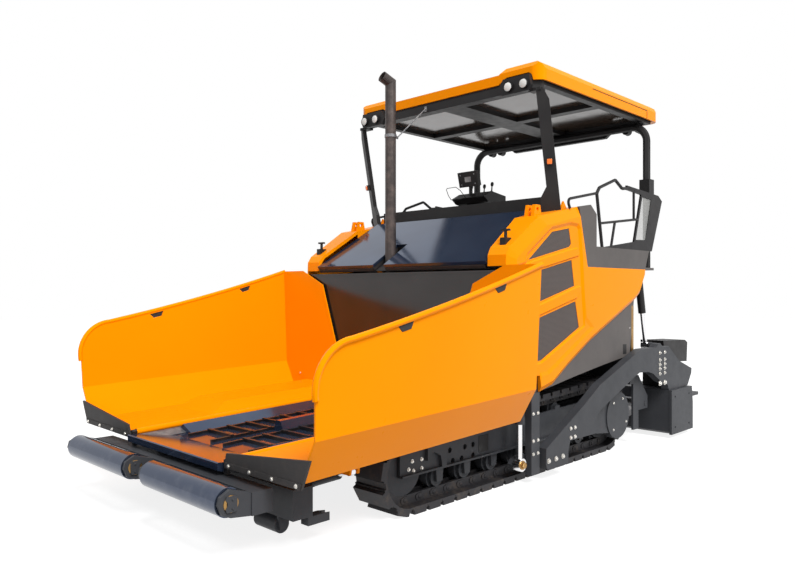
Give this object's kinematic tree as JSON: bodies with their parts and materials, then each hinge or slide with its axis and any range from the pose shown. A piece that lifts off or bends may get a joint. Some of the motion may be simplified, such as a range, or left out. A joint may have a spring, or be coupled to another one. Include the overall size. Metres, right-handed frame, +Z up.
{
  "type": "asphalt paver",
  "caption": "tracked asphalt paver with folding hopper, slat conveyor, augers, floating screed on tow arms, open platform under a canopy and an upright exhaust",
  "frame": {"origin": "on the ground at the middle of the overall length and width", "axes": "+X forward (travel), +Y to the machine's left, +Z up"},
  "size_m": [6.95, 3.5694, 4.0116],
  "materials": {
    "yellow_paint": "glossy construction yellow, baked enamel",
    "frame_paint": "semi-gloss dark grey",
    "panel_paint": "semi-gloss warm grey",
    "hood_paint": "glossy dark blue-grey",
    "black_paint": "satin black",
    "track_steel": "dark rolled steel with rubber pads, dusty",
    "worn_steel": "worn bare steel",
    "rod_chrome": "hard chrome piston rod",
    "roller_steel": "turned steel with thin dark paint",
    "mesh_black": "perforated black sheet",
    "flap_rubber": "black rubber sheet",
    "seat_vinyl": "black vinyl",
    "screen_glass": "clear screen with dust",
    "exhaust_steel": "heat-dulled dark steel",
    "lug_paint": "yellow enamel"
  },
  "bodies": {
    "chassis": {"main_frame": "frame_paint", "wing_hinge_pins": "worn_steel", "hopper_back_wall": "black_paint", "conveyor_deck": "hood_paint", "conveyor_slats": "worn_steel", "drive_covers": "frame_paint", "level_barrels": "frame_paint", "lift_brackets": "frame_paint", "auger_frame": "frame_paint", "side_grilles": "mesh_black", "lower_panels": "panel_paint", "exhaust_pipe": "exhaust_steel", "engine_block": "frame_paint", "platform": "panel_paint", "dash_cowl": "black_paint", "seat_pedestals": "black_paint", "seat_cushions": "seat_vinyl", "console": "black_paint", "handrails": "black_paint", "side_screens": "screen_glass", "roof_panes": "screen_glass", "canopy_roof": "yellow_paint", "canopy_liner": "black_paint", "canopy_posts": "black_paint", "canopy_lamps": "black_paint", "lifting_lugs": "lug_paint", "stowage_pegs": "black_paint", "track_left": "track_steel", "track_frame_left": "frame_paint", "running_gear_left": "frame_paint", "side_panel_left": "yellow_paint", "track_right": "track_steel", "track_frame_right": "frame_paint", "running_gear_right": "frame_paint", "side_panel_right": "yellow_paint"},
    "push_beam_body": {"push_beam": "frame_paint"},
    "hood_body": {"hood": "hood_paint"},
    "tow_point_body": {"tow_points": "rod_chrome"},
    "screed": {"tow_arms": "frame_paint", "screed_frame": "frame_paint", "screed_boxes": "black_paint", "screed_walkway": "frame_paint"},
    "wing_body_left": {"wing_left": "yellow_paint", "wing_flap_left": "flap_rubber"},
    "ram_barrel_left": {"wing_barrel_left": "frame_paint"},
    "ram_rod_left": {"wing_rod_left": "rod_chrome"},
    "roller_body_left": {"push_roller_left": "roller_steel"},
    "cylinder_left": {"lift_barrel_left": "black_paint"},
    "piston_left": {"lift_rod_left": "rod_chrome"},
    "auger_body_left": {"auger_left": "worn_steel"},
    "wing_body_right": {"wing_right": "yellow_paint", "wing_flap_right": "flap_rubber"},
    "ram_barrel_right": {"wing_barrel_right": "frame_paint"},
    "ram_rod_right": {"wing_rod_right": "rod_chrome"},
    "roller_body_right": {"push_roller_right": "roller_steel"},
    "cylinder_right": {"lift_barrel_right": "black_paint"},
    "piston_right": {"lift_rod_right": "rod_chrome"},
    "auger_body_right": {"auger_right": "worn_steel"}
  },
  "joints": [
    {"name": "wing_fold_left", "type": "hinge", "parent": "chassis", "child": "wing_body_left", "pos_m": [2.00278, 0.722, 0.5994], "axis": [0.9994, 0, -0.0349], "range_deg": [0, 45]},
    {"name": "ram_turn_left", "type": "hinge", "parent": "chassis", "child": "ram_barrel_left", "pos_m": [2.4426, 0.81, 0.29987], "axis": [0.9994, 0, -0.0349], "range_deg": [0, 37.23]},
    {"name": "ram_stroke_left", "type": "slide", "parent": "ram_barrel_left", "child": "ram_rod_left", "axis": [0.0123, 0.9355, 0.3532], "range_m": [0, 0.2138]},
    {"name": "push_roller_spin_left", "type": "hinge", "parent": "push_beam_body", "child": "roller_body_left", "pos_m": [3.38, 0.65, 0.42], "axis": [0, 1, 0], "continuous": true},
    {"name": "auger_spin_left", "type": "hinge", "parent": "chassis", "child": "auger_body_left", "pos_m": [-2.08, 0.68, 0.44], "axis": [0, 1, 0], "continuous": true},
    {"name": "wing_fold_right", "type": "hinge", "parent": "chassis", "child": "wing_body_right", "pos_m": [2.00278, -0.722, 0.5994], "axis": [-0.9994, 0, 0.0349], "range_deg": [0, 45]},
    {"name": "ram_turn_right", "type": "hinge", "parent": "chassis", "child": "ram_barrel_right", "pos_m": [2.4426, -0.81, 0.29987], "axis": [-0.9994, 0, 0.0349], "range_deg": [0, 37.23]},
    {"name": "ram_stroke_right", "type": "slide", "parent": "ram_barrel_right", "child": "ram_rod_right", "axis": [0.0123, -0.9355, 0.3532], "range_m": [0, 0.2138]},
    {"name": "push_roller_spin_right", "type": "hinge", "parent": "push_beam_body", "child": "roller_body_right", "pos_m": [3.38, -0.65, 0.42], "axis": [0, 1, 0], "continuous": true},
    {"name": "auger_spin_right", "type": "hinge", "parent": "chassis", "child": "auger_body_right", "pos_m": [-2.08, -0.68, 0.44], "axis": [0, 1, 0], "continuous": true},
    {"name": "push_beam_swing", "type": "hinge", "parent": "chassis", "child": "push_beam_body", "pos_m": [2.99, 0, 0.385], "axis": [0, 0, 1], "range_deg": [-4, 4]},
    {"name": "hood_open", "type": "hinge", "parent": "chassis", "child": "hood_body", "pos_m": [-0.126, 0, 2.502], "axis": [0, -1, 0], "range_deg": [0, 40]},
    {"name": "tow_point_raise", "type": "slide", "parent": "chassis", "child": "tow_point_body", "axis": [0, 0, 1], "range_m": [0, 0.12]},
    {"name": "screed_lift", "type": "hinge", "parent": "tow_point_body", "child": "screed", "pos_m": [0.55, 0, 0.2], "axis": [0, 1, 0], "range_deg": [0, 7]},
    {"name": "lift_turn_left", "type": "hinge", "parent": "chassis", "child": "cylinder_left", "pos_m": [-1.96, 1.29, 1.92], "axis": [0, 1, 0], "range_deg": [-7.01, 0]},
    {"name": "lift_stroke_left", "type": "slide", "parent": "cylinder_left", "child": "piston_left", "axis": [-0.2157, 0, -0.9765], "range_m": [-0.3412, 0]},
    {"name": "lift_turn_right", "type": "hinge", "parent": "chassis", "child": "cylinder_right", "pos_m": [-1.96, -1.29, 1.92], "axis": [0, 1, 0], "range_deg": [-7.01, 0]},
    {"name": "lift_stroke_right", "type": "slide", "parent": "cylinder_right", "child": "piston_right", "axis": [-0.2157, 0, -0.9765], "range_m": [-0.3412, 0]}
  ],
  "couplings": [
    {"joint": "ram_turn_left", "follows": "wing_fold_left", "ratio": 0.81617},
    {"joint": "ram_stroke_left", "follows": "wing_fold_left", "m_per_rad": 0.26964},
    {"joint": "ram_turn_right", "follows": "wing_fold_right", "ratio": 0.81617},
    {"joint": "ram_stroke_right", "follows": "wing_fold_right", "m_per_rad": 0.26964},
    {"joint": "lift_turn_left", "follows": "screed_lift", "ratio": -0.95903},
    {"joint": "lift_stroke_left", "follows": "screed_lift", "m_per_rad": -2.7685},
    {"joint": "lift_turn_right", "follows": "screed_lift", "ratio": -0.95903},
    {"joint": "lift_stroke_right", "follows": "screed_lift", "m_per_rad": -2.7685}
  ]
}
